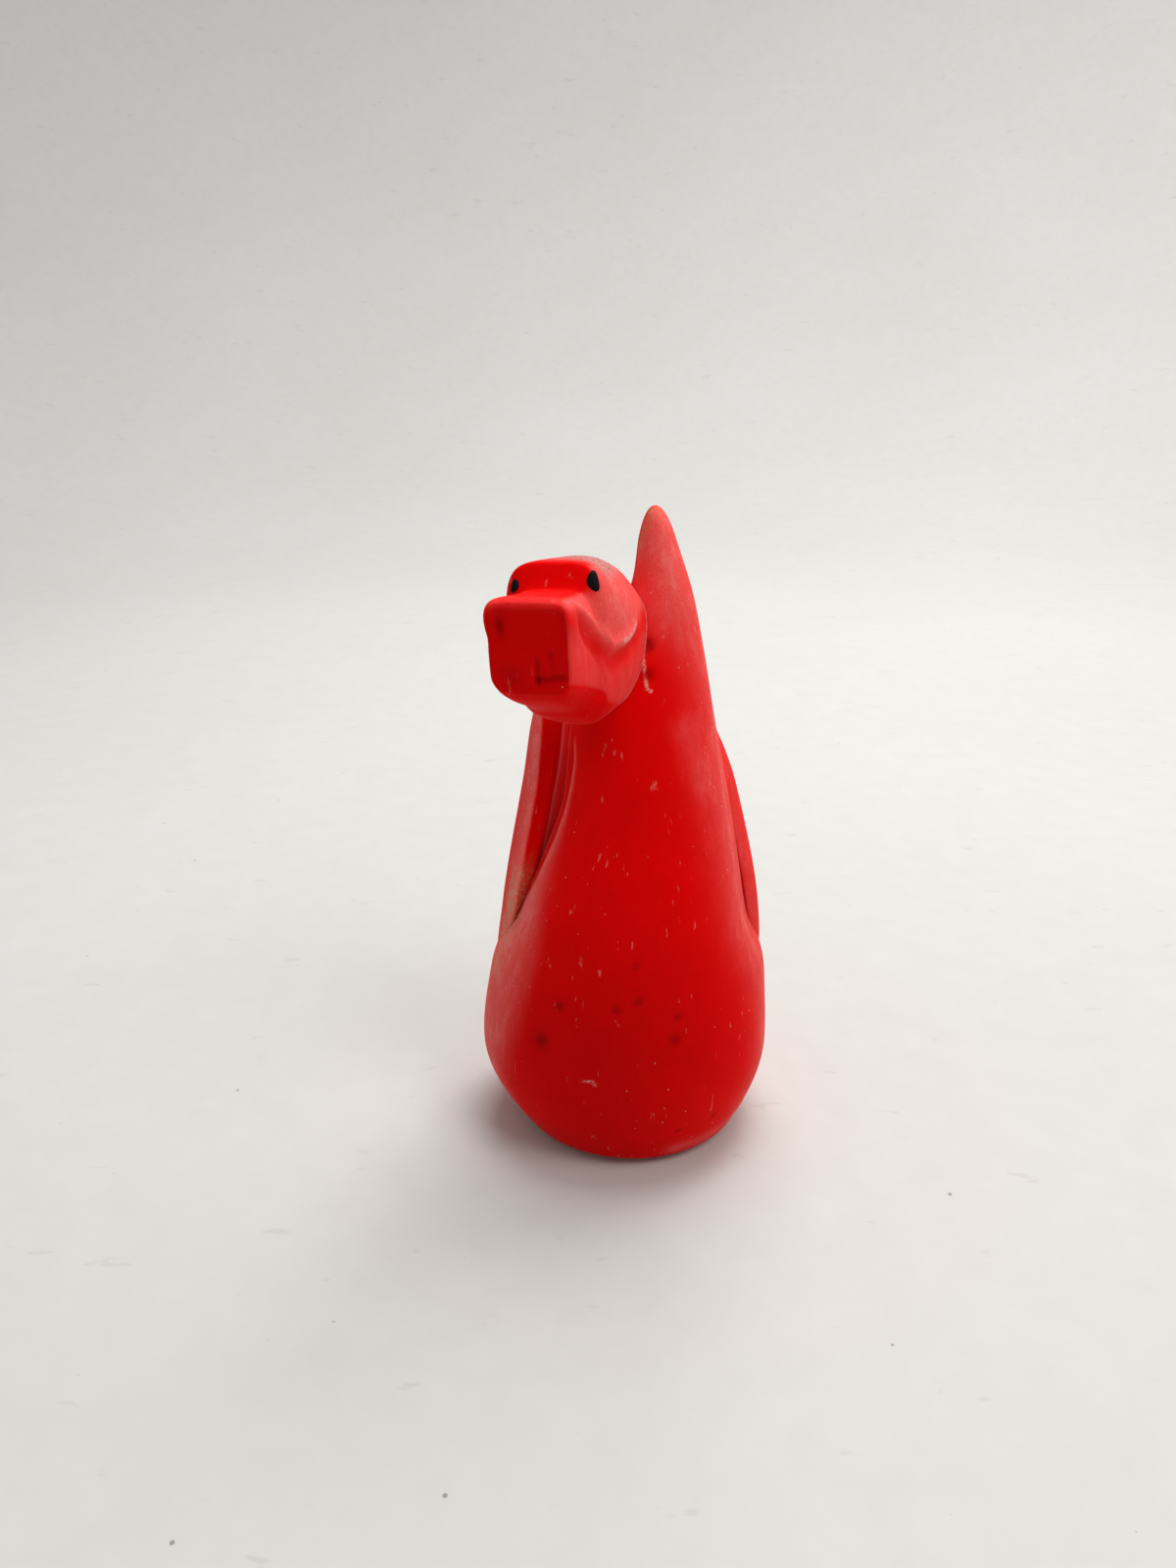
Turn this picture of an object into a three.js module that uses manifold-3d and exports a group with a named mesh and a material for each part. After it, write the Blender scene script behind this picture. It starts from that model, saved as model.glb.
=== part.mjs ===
// Dragon figurine: a small sitting dragon in red, 80 mm to the tip of its crest.
// Millimetres, +Z up. The origin is the middle of the foot, on the surface it stands on.
// The dragon looks along -Y. Left and right are the dragon's own, so its left side is at +X.

import * as THREE from 'three';
import { mergeVertices } from 'three/addons/utils/BufferGeometryUtils.js';
import Module from 'manifold-3d';

const wasm = await Module();
wasm.setup();

// Clearances

const fitGap = 0.3;
const eyeGap = 0.2;

// Body: the belly, chest, neck and crest are one moulding, drawn as level ovals up its height.
// halfWidth is across X and halfDepth along Y; centreX and centreY place the oval's middle.

const footEdge = { height: 0.6, halfWidth: 12.9, halfDepth: 12.9, centreX: 0.3, centreY: 0 };
const footRound = { height: 1.5, halfWidth: 14.6, halfDepth: 14.1, centreX: 0.1, centreY: 0 };
const belly = { height: 11.8, halfWidth: 18.7, halfDepth: 17, centreX: -0.7, centreY: 0.2 };
const chest = { height: 30, halfWidth: 14.4, halfDepth: 12.8, centreX: 0.2, centreY: -0.6 };
const throat = { height: 45, halfWidth: 10.2, halfDepth: 8.0, centreX: 1.6, centreY: -1.4 };
const neck = { height: 55, halfWidth: 8.6, halfDepth: 6.9, centreX: 1.15, centreY: -0.6 };
const nape = { height: 64, halfWidth: 6.3, halfDepth: 5.7, centreX: 1.8, centreY: 0.6 };
const crestRoot = { height: 71, halfWidth: 3.5, halfDepth: 4.2, centreX: 3.0, centreY: 1.4 };
const crestNarrow = { height: 76.2, halfWidth: 2.2, halfDepth: 2.8, centreX: 2.5, centreY: 1.8 };
const crestTip = { height: 80, centreX: 2.2, centreY: 2.0 };
const bodyRingSpacing = 2.1;
const bodyRingPoints = 40;
const crestDomeRings = 3;
const crestDomePower = 1.3;

// Tail: a short stub that swells out of the rump, low at the back.

const tailReach = 7;
const tailHeight = 3.8;
const tailHalfHeight = 5.5;
const tailHalfAngle = THREE.MathUtils.degToRad(23);

// Flank: the outer surface that the folded wings follow above the belly.

const flank = { height: 30, halfWidth: 16.8, halfDepth: 14.8, centreX: -0.05, centreY: 0.2 };
const shoulder = { height: 46, halfWidth: 13.6, halfDepth: 12.0, centreX: -0.4, centreY: 0.4 };
const withers = { height: 58, halfWidth: 10.6, halfDepth: 9.4, centreX: -2.0, centreY: 0.8 };

// Hip: low on each side the body swells out to the flank, nearly flush with the folded wing, so
// that the hollow between the wing and the neck ends above it. The angles are degrees from the
// front, and the inset is how far the wing stands proud.

const hip = { lowHeight: 21, highHeight: 31, frontAngle: 48, rearAngle: 82, inset: 0.2 };

// Wings: a leaf-shaped lobe on each flank, thick along its front edge, which shows beside the neck,
// and thin along its rear edge. Its edges are given at heights up the flank, as angles in degrees
// round the body from the front. rimPower rounds the section and tipPower closes the ends.

const wingThickness = { front: 5.2, rear: 2.2 };
const wingFoot = { height: 16, frontAngle: 117, rearAngle: 123 };
const wingFlare = { height: 21, frontAngle: 96, rearAngle: 148 };
const wingHip = { height: 26, frontAngle: 83, rearAngle: 162 };
const wingBroad = { height: 34, frontAngle: 78, rearAngle: 170 };
const wingMiddle = { height: 44, frontAngle: 77, rearAngle: 171 };
const wingShoulder = { height: 50, frontAngle: 80, rearAngle: 168 };
const wingTaper = { height: 55.5, frontAngle: 92, rearAngle: 152 };
const wingTop = { height: 59, frontAngle: 113, rearAngle: 127 };
const wingRings = 20;
const wingRingPoints = 28;
const wingRimPower = 3;
const wingTipPower = 8;
const wingPeg = { height: 28, angle: 112, radius: 1.2, length: 4.2 };

// Head: drawn as upright sections along its own axis, from the joint with the neck to the muzzle.
// reach is the distance forward of the joint and side the shift towards the crest; top and bottom
// are heights about the head's axis.
// square is the power of the section's outline: 2 is an oval and larger numbers are boxier.

const headAxisHeight = 66;
const headTurn = THREE.MathUtils.degToRad(18);
const headTilt = THREE.MathUtils.degToRad(3);
const headOffset = { x: -7.2, y: -4.9 };
const headRoot = { reach: -5.5, side: 3.2, halfWidth: 3.4, top: 5, bottom: -6, square: 2 };
const skull = { reach: -1.5, side: 1.2, halfWidth: 5.3, top: 8.8, bottom: -8.4, square: 2.2 };
const cheek = { reach: 3.5, side: 0.6, halfWidth: 6.0, top: 10.1, bottom: -8.6, square: 2.5 };
const brow = { reach: 8.2, side: 0, halfWidth: 5.7, top: 10.3, bottom: -6.7, square: 4 };
const noseBridge = { reach: 10, side: 0, halfWidth: 4.8, top: 7.7, bottom: -5.5, square: 4 };
const lip = { reach: 15.8, side: 0, halfWidth: 4.6, top: 8.1, bottom: -2.6, square: 5 };
const muzzleFace = { reach: 17, side: 0, halfWidth: 4.25, top: 7.2, bottom: -1.4, square: 6 };
const headRingSpacing = 1.15;
const headRingPoints = 32;

// Nostrils and mouth, cut into the flat muzzle

const nostril = { radius: 0.55, depth: 0.7, side: 2.9, height: 5.4 };
const mouthLine = { width: 2.4, height: 0.5, depth: 0.6, side: 1.2, drop: -0.3 };
const lipCleft = { width: 0.45, height: 2.4, depth: 0.6 };

// Eyes: black inlays, set in pockets at the foot of the brow; the right one is the smaller. The
// corners of the drop are given as shares of its width, outwards, and of its height, upwards; each
// is rounded over part of its edges.

const eyes = {
  left: { side: 4.1, height: 8.4, width: 1.8, tall: 2.4 },
  right: { side: 3.6, height: 7.9, width: 1.5, tall: 1.6 },
};
const eyeDepth = 1.4;
const eyeFacing = THREE.MathUtils.degToRad(32);
const eyeCornerShares = [
  [0.12, 0.5],
  [0.5, 0.42],
  [0.5, -0.4],
  [0.05, -0.5],
  [-0.5, -0.1],
];
const eyeRoundShare = 0.45;
const eyeCurvePoints = 3;
const browSearchSteps = 30;

// Head dowel: a metal pin, half in the neck and half in the head

const dowel = { radius: 1.3, length: 11, neckHeight: 62.5, headReach: 5 };
const dowelSides = 20;

// Foot pad: an oval disc let into the underside, on which the figurine stands

const padThickness = 1.2;
const padBorder = 1.5;
const padSides = 40;

// Points closer than this are one vertex

const mergeDistance = 1e-5;

// Materials

const redSkin = { color: 0xc4141c, roughness: 0.62, metalness: 0 };
const blackInlay = { color: 0x0c090a, roughness: 0.35, metalness: 0 };
const steel = { color: 0x9a9c9e, roughness: 0.4, metalness: 1 };
const darkRubber = { color: 0x2a1416, roughness: 0.85, metalness: 0 };

// Smooth interpolation that never overshoots its stations

function smoothValue(stations, along, key, place) {
  const last = stations.length - 1;
  if (place <= stations[0][along]) return stations[0][key];
  if (place >= stations[last][along]) return stations[last][key];
  const slope = (i) =>
    (stations[i + 1][key] - stations[i][key]) / (stations[i + 1][along] - stations[i][along]);
  const tangent = (i) => {
    if (i === 0) return slope(0);
    if (i === last) return slope(last - 1);
    const before = slope(i - 1);
    const after = slope(i);
    return before * after <= 0 ? 0 : (2 * before * after) / (before + after);
  };
  let i = 0;
  while (place > stations[i + 1][along]) i += 1;
  const span = stations[i + 1][along] - stations[i][along];
  const t = (place - stations[i][along]) / span;
  const rise = t * t * (3 - 2 * t);
  return (
    stations[i][key] * (1 - rise) +
    stations[i + 1][key] * rise +
    span * tangent(i) * t * (1 - t) * (1 - t) -
    span * tangent(i + 1) * t * t * (1 - t)
  );
}

// A closed surface through rings of points, all with the same count. Each end is closed by a fan
// round its own middle point, which may also lie beyond the ring as a tip.

function loft(rings, startPoint, endPoint) {
  const count = rings[0].length;
  const points = rings.flat();
  points.push(startPoint, endPoint);
  const start = points.length - 2;
  const end = points.length - 1;
  const faces = [];
  for (let j = 0; j < count; j += 1) {
    const next = (j + 1) % count;
    for (let i = 0; i < rings.length - 1; i += 1) {
      const low = i * count;
      const high = low + count;
      faces.push(low + j, low + next, high + next);
      faces.push(low + j, high + next, high + j);
    }
    const top = (rings.length - 1) * count;
    faces.push(start, next, j);
    faces.push(end, top + j, top + next);
  }
  const geometry = new THREE.BufferGeometry();
  geometry.setAttribute('position', new THREE.Float32BufferAttribute(points.flat(), 3));
  geometry.setIndex(faces);
  return geometry;
}

function solid(geometry) {
  const bare = geometry.clone();
  bare.deleteAttribute('normal');
  bare.deleteAttribute('uv');
  const merged = mergeVertices(bare, mergeDistance);
  return new wasm.Manifold(
    new wasm.Mesh({
      numProp: 3,
      vertProperties: new Float32Array(merged.attributes.position.array),
      triVerts: new Uint32Array(merged.index.array),
    }),
  );
}

function geometryOf(shape) {
  const mesh = shape.getMesh();
  const geometry = new THREE.BufferGeometry();
  geometry.setAttribute('position', new THREE.BufferAttribute(mesh.vertProperties, 3));
  geometry.setIndex(new THREE.BufferAttribute(mesh.triVerts, 1));
  return geometry;
}

function finish(name, shape, look) {
  const geometry = geometryOf(shape).toNonIndexed();
  geometry.computeVertexNormals();
  const mesh = new THREE.Mesh(geometry, new THREE.MeshStandardMaterial(look));
  mesh.name = name;
  return mesh;
}

function evenly(first, last, count) {
  return Array.from({ length: count + 1 }, (_, i) => first + ((last - first) * i) / count);
}

// Body

const bodyStations = [footEdge, footRound, belly, chest, throat, neck, nape, crestRoot, crestNarrow];
const flankStations = [footEdge, footRound, belly, flank, shoulder, withers];

// The share by which the body follows its flank at a height and an angle from the front

function hipShare(height, fromFront) {
  const sideways = THREE.MathUtils.radToDeg(fromFront);
  const above = THREE.MathUtils.smoothstep(height, hip.lowHeight, hip.highHeight);
  return (1 - above) * THREE.MathUtils.smoothstep(sideways, hip.frontAngle, hip.rearAngle);
}

function bodyRing(height, grow) {
  const tailShare = Math.exp(-(((height - tailHeight) / tailHalfHeight) ** 2));
  const insetShare = THREE.MathUtils.smoothstep(height, belly.height, hip.lowHeight);
  return Array.from({ length: bodyRingPoints }, (_, j) => {
    const angle = (2 * Math.PI * j) / bodyRingPoints;
    const fromBack = Math.PI - angle;
    const share = hipShare(height, Math.PI - Math.abs(fromBack));
    const out = grow - hip.inset * insetShare * share;
    const at = (key) =>
      THREE.MathUtils.lerp(
        smoothValue(bodyStations, 'height', key, height),
        smoothValue(flankStations, 'height', key, height),
        share,
      );
    const tail = tailReach * tailShare * Math.exp(-((fromBack / tailHalfAngle) ** 2));
    const x = at('centreX') + (at('halfWidth') + out) * Math.sin(angle);
    const y = at('centreY') - (at('halfDepth') + out) * Math.cos(angle) + tail;
    return [x, y, height];
  });
}

function bodyLoft(grow) {
  const count = Math.round((crestNarrow.height - footRound.height) / bodyRingSpacing);
  const heights = [footEdge.height - grow, ...evenly(footRound.height, crestNarrow.height, count)];
  const rings = heights.map((height) => bodyRing(height, grow));
  const narrow = rings[rings.length - 1];
  for (let i = 1; i <= crestDomeRings; i += 1) {
    const lift = (Math.PI / 2) * (i / (crestDomeRings + 1));
    const rise = Math.sin(lift);
    const share = Math.cos(lift) ** crestDomePower;
    const middle = (key) => crestNarrow[key] + (crestTip[key] - crestNarrow[key]) * rise;
    rings.push(
      narrow.map(([x, y]) => [
        middle('centreX') + (x - crestNarrow.centreX) * share,
        middle('centreY') + (y - crestNarrow.centreY) * share,
        middle('height'),
      ]),
    );
  }
  const start = [footEdge.centreX, footEdge.centreY, footEdge.height - grow];
  const end = [crestTip.centreX, crestTip.centreY, crestTip.height + grow];
  return loft(rings, start, end);
}

// Wings

const wingStations = [
  wingFoot,
  wingFlare,
  wingHip,
  wingBroad,
  wingMiddle,
  wingShoulder,
  wingTaper,
  wingTop,
];

function flankPoint(side, height, angle, inset) {
  const at = (key) => smoothValue(flankStations, 'height', key, height);
  return [
    at('centreX') + side * (at('halfWidth') - inset) * Math.sin(angle),
    at('centreY') - (at('halfDepth') - inset) * Math.cos(angle),
    height,
  ];
}

function wingLoft(side, grow) {
  const first = wingFoot.height - grow;
  const last = wingTop.height + grow;
  const widen = grow / belly.halfWidth;
  const bow = (value) => Math.sign(value) * Math.abs(value) ** (2 / wingRimPower);
  const middleInset = (across) =>
    THREE.MathUtils.lerp(wingThickness.front, wingThickness.rear, (1 + across) / 2) / 2;
  const edgeAngle = (key, height) =>
    THREE.MathUtils.degToRad(smoothValue(wingStations, 'height', key, height));
  const rings = [];
  for (let i = 1; i < wingRings; i += 1) {
    const along = (1 - Math.cos((Math.PI * i) / wingRings)) / 2;
    const height = first + (last - first) * along;
    const front = edgeAngle('frontAngle', height) - widen;
    const rear = edgeAngle('rearAngle', height) + widen;
    const thin = Math.sqrt(1 - (2 * along - 1) ** wingTipPower);
    const ring = [];
    for (let j = 0; j < wingRingPoints; j += 1) {
      const turn = (2 * Math.PI * j) / wingRingPoints;
      const across = bow(Math.cos(turn));
      const angle = (front + rear) / 2 + ((rear - front) / 2) * across;
      const middle = middleInset(across);
      const inset = middle + (middle + grow) * thin * bow(Math.sin(turn));
      ring.push(flankPoint(side, height, angle, inset));
    }
    rings.push(side > 0 ? ring : ring.reverse());
  }
  const tipAngle = (tip) => THREE.MathUtils.degToRad((tip.frontAngle + tip.rearAngle) / 2);
  const start = flankPoint(side, first, tipAngle(wingFoot), middleInset(0));
  const end = flankPoint(side, last, tipAngle(wingTop), middleInset(0));
  return loft(rings, start, end);
}

function wingPegRod(side, grow) {
  const angle = THREE.MathUtils.degToRad(wingPeg.angle);
  const at = (inset) => new THREE.Vector3(...flankPoint(side, wingPeg.height, angle, inset));
  const outer = at(wingThickness.rear / 2);
  const inward = at(wingThickness.front).sub(outer).normalize();
  const length = wingThickness.front - wingThickness.rear / 2 + wingPeg.length + grow;
  return rodBetween(outer, outer.clone().addScaledVector(inward, length), wingPeg.radius + grow);
}

// A round rod from one point to another

function rodBetween(from, to, radius) {
  const length = from.distanceTo(to);
  const rod = new THREE.CylinderGeometry(radius, radius, length, dowelSides);
  const along = to.clone().sub(from).normalize();
  const turn = new THREE.Quaternion().setFromUnitVectors(new THREE.Vector3(0, 1, 0), along);
  rod.applyQuaternion(turn);
  const middle = from.clone().add(to).multiplyScalar(0.5);
  rod.translate(middle.x, middle.y, middle.z);
  return rod;
}

// Head, in its own frame: X to the side, -Y forward, Z about the head's axis

const headStations = [headRoot, skull, cheek, brow, noseBridge, lip, muzzleFace];

function headSection(reach) {
  const at = (key) => smoothValue(headStations, 'reach', key, reach);
  return {
    side: at('side'),
    halfWidth: at('halfWidth'),
    halfHeight: (at('top') - at('bottom')) / 2,
    middle: (at('top') + at('bottom')) / 2,
    power: 2 / at('square'),
  };
}

function headLoft() {
  const count = Math.round((muzzleFace.reach - headRoot.reach) / headRingSpacing);
  const rings = evenly(muzzleFace.reach, headRoot.reach, count).map((reach) => {
    const section = headSection(reach);
    const bow = (value) => Math.sign(value) * Math.abs(value) ** section.power;
    return Array.from({ length: headRingPoints }, (_, j) => {
      const turn = (2 * Math.PI * (j + 0.5)) / headRingPoints;
      const side = section.side + section.halfWidth * bow(Math.sin(turn));
      return [side, -reach, section.middle + section.halfHeight * bow(Math.cos(turn))];
    });
  });
  const face = [muzzleFace.side, -muzzleFace.reach, headSection(muzzleFace.reach).middle];
  const back = [headRoot.side, -headRoot.reach, headSection(headRoot.reach).middle];
  return loft(rings, face, back);
}

const headPlace = new THREE.Matrix4()
  .makeRotationZ(-headTurn)
  .multiply(new THREE.Matrix4().makeRotationY(-headTilt))
  .setPosition(neck.centreX + headOffset.x, neck.centreY + headOffset.y, headAxisHeight);

function inHeadFrame(geometry) {
  return geometry.clone().applyMatrix4(headPlace.clone().invert());
}

// The face of the muzzle: two nostrils, a cleft and the line of the mouth

function nostrilCut(side) {
  const cut = new THREE.CylinderGeometry(nostril.radius, nostril.radius, 2 * nostril.depth, dowelSides);
  return cut.translate(side * nostril.side, -muzzleFace.reach, nostril.height);
}

function faceSlot(width, height, depth, side, middle) {
  const cut = new THREE.BoxGeometry(width, 2 * depth, height);
  return cut.translate(side, -muzzleFace.reach, middle);
}

// Eyes: a drop outline, narrow at the top, standing on the skin at the foot of the brow

function eyeOutline(eye, side, grow) {
  const across = side * (eye.width + 2 * grow);
  const up = eye.tall + 2 * grow;
  const corners = eyeCornerShares.map(([out, lift]) => new THREE.Vector2(out * across, lift * up));
  const shape = new THREE.Shape();
  corners.forEach((corner, i) => {
    const before = corners[(i + corners.length - 1) % corners.length];
    const after = corners[(i + 1) % corners.length];
    const enter = corner.clone().lerp(before, eyeRoundShare);
    const leave = corner.clone().lerp(after, eyeRoundShare);
    if (i === 0) shape.moveTo(enter.x, enter.y);
    else shape.lineTo(enter.x, enter.y);
    shape.quadraticCurveTo(corner.x, corner.y, leave.x, leave.y);
  });
  shape.closePath();
  return shape;
}

// The reach at which a point with this side and height comes out through the slope of the brow

function browSlopeReach(side, height) {
  let inside = cheek.reach;
  let outside = lip.reach;
  for (let i = 0; i < browSearchSteps; i += 1) {
    const reach = (inside + outside) / 2;
    const section = headSection(reach);
    const across = Math.abs((side - section.side) / section.halfWidth) ** (2 / section.power);
    const up = Math.abs((height - section.middle) / section.halfHeight) ** (2 / section.power);
    if (across + up < 1) inside = reach;
    else outside = reach;
  }
  return inside;
}

function eyePlace(eye, side) {
  return new THREE.Matrix4()
    .makeRotationZ(side * eyeFacing)
    .setPosition(side * eye.side, -browSlopeReach(side * eye.side, eye.height), eye.height);
}

// The block reaches as far out through the skin as in; the inlay is cut back to the skin later

function eyeBlock(word, grow) {
  const eye = eyes[word];
  const side = sides[word];
  const depth = 2 * eyeDepth + grow;
  const options = { depth, bevelEnabled: false, curveSegments: eyeCurvePoints };
  const block = new THREE.ExtrudeGeometry(eyeOutline(eye, side, grow), options);
  block.rotateX(Math.PI / 2);
  block.translate(0, eyeDepth + grow, 0);
  return block.applyMatrix4(eyePlace(eye, side));
}

// The dowel runs from the middle of the neck up into the head

function dowelRod(grow) {
  const headEnd = new THREE.Vector3(0, -dowel.headReach, 0).applyMatrix4(headPlace);
  const neckMiddle = new THREE.Vector3(
    smoothValue(bodyStations, 'height', 'centreX', dowel.neckHeight),
    smoothValue(bodyStations, 'height', 'centreY', dowel.neckHeight),
    dowel.neckHeight,
  );
  const back = neckMiddle.sub(headEnd).normalize();
  const neckEnd = headEnd.clone().addScaledVector(back, dowel.length + grow);
  headEnd.addScaledVector(back, -grow);
  return rodBetween(headEnd, neckEnd, dowel.radius + grow);
}

// Foot pad

function padDisc(grow) {
  const disc = new THREE.CylinderGeometry(1, 1, padThickness + grow, padSides);
  disc.rotateX(Math.PI / 2);
  disc.scale(footEdge.halfWidth - padBorder + grow, footEdge.halfDepth - padBorder + grow, 1);
  return disc.translate(footEdge.centreX, footEdge.centreY, (padThickness + grow) / 2);
}

// Assembly

const sides = { left: 1, right: -1 };

function makeBody() {
  let shape = solid(bodyLoft(0)).subtract(solid(padDisc(fitGap)));
  for (const side of Object.values(sides)) {
    shape = shape.subtract(solid(wingLoft(side, fitGap)));
    shape = shape.subtract(solid(wingPegRod(side, fitGap)));
  }
  shape = shape.subtract(solid(dowelRod(fitGap)));
  return finish('body', shape, redSkin);
}

function makeWing(name, side) {
  const shape = solid(wingLoft(side, 0)).add(solid(wingPegRod(side, 0)));
  return finish(name, shape, redSkin);
}

function makeHead() {
  let shape = solid(headLoft());
  shape = shape.subtract(solid(inHeadFrame(bodyLoft(fitGap))));
  shape = shape.subtract(solid(inHeadFrame(dowelRod(fitGap))));
  for (const [word, side] of Object.entries(sides)) {
    shape = shape.subtract(solid(nostrilCut(side)));
    shape = shape.subtract(solid(eyeBlock(word, eyeGap)));
  }
  const mouth = faceSlot(mouthLine.width, mouthLine.height, mouthLine.depth, mouthLine.side, mouthLine.drop);
  const cleftMiddle = mouthLine.drop + lipCleft.height / 2;
  const cleft = faceSlot(lipCleft.width, lipCleft.height, lipCleft.depth, 0, cleftMiddle);
  shape = shape.subtract(solid(mouth)).subtract(solid(cleft));
  return finish('head', shape, redSkin);
}

function makeEye(name, word) {
  return finish(name, solid(eyeBlock(word, 0)).intersect(solid(headLoft())), blackInlay);
}

const figurine = new THREE.Group();
figurine.name = 'dragon_figurine';
figurine.add(makeBody());
figurine.add(finish('foot_pad', solid(padDisc(0)), darkRubber));
figurine.add(finish('head_dowel', solid(dowelRod(0)), steel));

const headGroup = new THREE.Group();
headGroup.applyMatrix4(headPlace);
headGroup.add(makeHead());
figurine.add(headGroup);

for (const [word, side] of Object.entries(sides)) {
  figurine.add(makeWing(`wing_${word}`, side));
  headGroup.add(makeEye(`eye_${word}`, word));
}

export default figurine;
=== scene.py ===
# %% [markdown]
# # A red dragon figurine
#
# The solids come ready made: a body with a tall crest, a blocky head, two folded wings, two eyes, a
# foot pad and the dowel that holds the head on. They are faceted, so this lesson draws a fine skin
# over each one that shows, gives every piece a finish and lights it in a small studio. Shapes are
# worked out in millimetres and turned into metres when a mesh is made.
# The figurine looks along -Y and stands on the plane Z = 0; its left side is at +X.

# %% Load the solids
import bpy
import numpy as np
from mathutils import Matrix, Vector


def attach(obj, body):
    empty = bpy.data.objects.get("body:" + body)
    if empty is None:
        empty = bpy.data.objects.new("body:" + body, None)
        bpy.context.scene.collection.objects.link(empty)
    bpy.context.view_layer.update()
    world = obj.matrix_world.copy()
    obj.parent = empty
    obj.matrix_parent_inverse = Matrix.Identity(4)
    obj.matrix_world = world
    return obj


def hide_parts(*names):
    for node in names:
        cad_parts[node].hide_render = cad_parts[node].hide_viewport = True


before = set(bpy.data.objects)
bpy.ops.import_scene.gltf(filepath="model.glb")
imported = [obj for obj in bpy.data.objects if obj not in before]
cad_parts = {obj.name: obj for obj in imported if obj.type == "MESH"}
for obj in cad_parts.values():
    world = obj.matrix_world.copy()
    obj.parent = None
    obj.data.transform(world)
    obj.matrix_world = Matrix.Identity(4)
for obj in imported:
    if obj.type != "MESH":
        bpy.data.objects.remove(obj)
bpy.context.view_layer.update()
millimetres = 1000  # in a metre
print("solids:", sorted(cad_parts))


def new_object(name, data):
    """An object at the origin that shows a mesh, lamp or camera, put in the scene."""
    made = bpy.data.objects.new(name, data)
    bpy.context.scene.collection.objects.link(made)
    return made


# %% [markdown]
# ## The camera
#
# The picture was taken close up, from a little above the crest, with the camera tipped down by 21
# degrees. A phone's main lens sees about as much as a 27 mm lens on full-frame film, and the long
# side of the picture is upright, so the 36 mm of the film are the sensor's height.

# %% Camera
camera_tip = np.radians(21)
camera_data = bpy.data.cameras.new("camera")
camera_data.lens = 27.0
camera_data.sensor_fit = "VERTICAL"
camera_data.sensor_height = 36.0
camera_data.clip_start = 0.005
camera = new_object("camera", camera_data)
camera.location = (-0.005526, -0.135433, 0.098493)
camera.rotation_euler = (np.pi / 2 - camera_tip, 0.0, 0.0)
bpy.context.scene.camera = camera
print("camera", [round(v, 4) for v in camera.location])

# %% [markdown]
# ## Smooth sections
#
# A hand-modelled figure is described by a few sections: how wide, how deep and where the middle is,
# at some heights. Everything between follows a smooth curve that never overshoots its stations,
# because one that did would show as a dent.

# %% Reading a table of sections
def smooth(stations, column, place):
    """The value of one column of a table of stations, at any place along its first column.

    Between two stations it is a cubic: the first value times 1 - rise, plus the second times rise,
    with rise = t * t * (3 - 2 * t), plus a share of the slope at each end. An inner slope is the
    harmonic mean of its two neighbours, or nothing where they turn, so no value overshoots.
    """
    along, value = stations[:, 0], stations[:, column]
    steps = np.diff(value) / np.diff(along)
    before, after = steps[:-1], steps[1:]
    same_way = before * after > 0
    inner = np.where(same_way, 2 * before * after / np.where(same_way, before + after, 1), 0)
    slopes = np.concatenate([steps[:1], inner, steps[-1:]])
    place = np.clip(place, along[0], along[-1])
    i = np.clip(np.searchsorted(along, place) - 1, 0, len(along) - 2)
    span = along[i + 1] - along[i]
    t = (place - along[i]) / span
    rise = t * t * (3 - 2 * t)
    bend = slopes[i] * t * (1 - t) ** 2 - slopes[i + 1] * t * t * (1 - t)
    return value[i] * (1 - rise) + value[i + 1] * rise + span * bend


def step(value, low, high):
    """Rises from 0 at low to 1 at high, as t * t * (3 - 2 * t)."""
    t = np.clip((value - low) / (high - low), 0, 1)
    return t * t * (3 - 2 * t)


def band(value, start, stop):
    """Rises over the range start and falls back to 0 over the range stop."""
    return step(value, *start) * (1 - step(value, *stop))


def fade(value, width):
    """1 at 0 and less on both sides of it, as exp(-(value / width)^2)."""
    return np.exp(-((value / width) ** 2))


def turns(count):
    """Angles all round a circle, in equal steps."""
    return np.linspace(0, 2 * np.pi, count, endpoint=False)


def boxy(u, v, power):
    """What takes the point (u, v) of a circle to a boxy oval: (|u|^power + |v|^power)^(-1/power)."""
    return (np.abs(u) ** power + np.abs(v) ** power) ** (-1 / power)


HALF_WIDTH, HALF_DEPTH, CENTRE_X, CENTRE_Y = 1, 2, 3, 4


def oval_sizes(stations, height):
    """The middle x, middle y, half width and half depth of the ovals at some heights."""
    return (smooth(stations, k, height) for k in (CENTRE_X, CENTRE_Y, HALF_WIDTH, HALF_DEPTH))


def oval(stations, angle, height, inset=0.0, side=1):
    """Points of level ovals. The angle runs from the front towards the left side.

    x = middle + (half width - inset) * sin(angle), y = middle - (half depth - inset) * cos(angle).
    """
    height = height + 0 * angle
    middle_x, middle_y, half_x, half_y = oval_sizes(stations, height)
    return np.stack([
        middle_x + side * (half_x - inset) * np.sin(angle),
        middle_y - (half_y - inset) * np.cos(angle),
        height,
    ], axis=-1)


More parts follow.
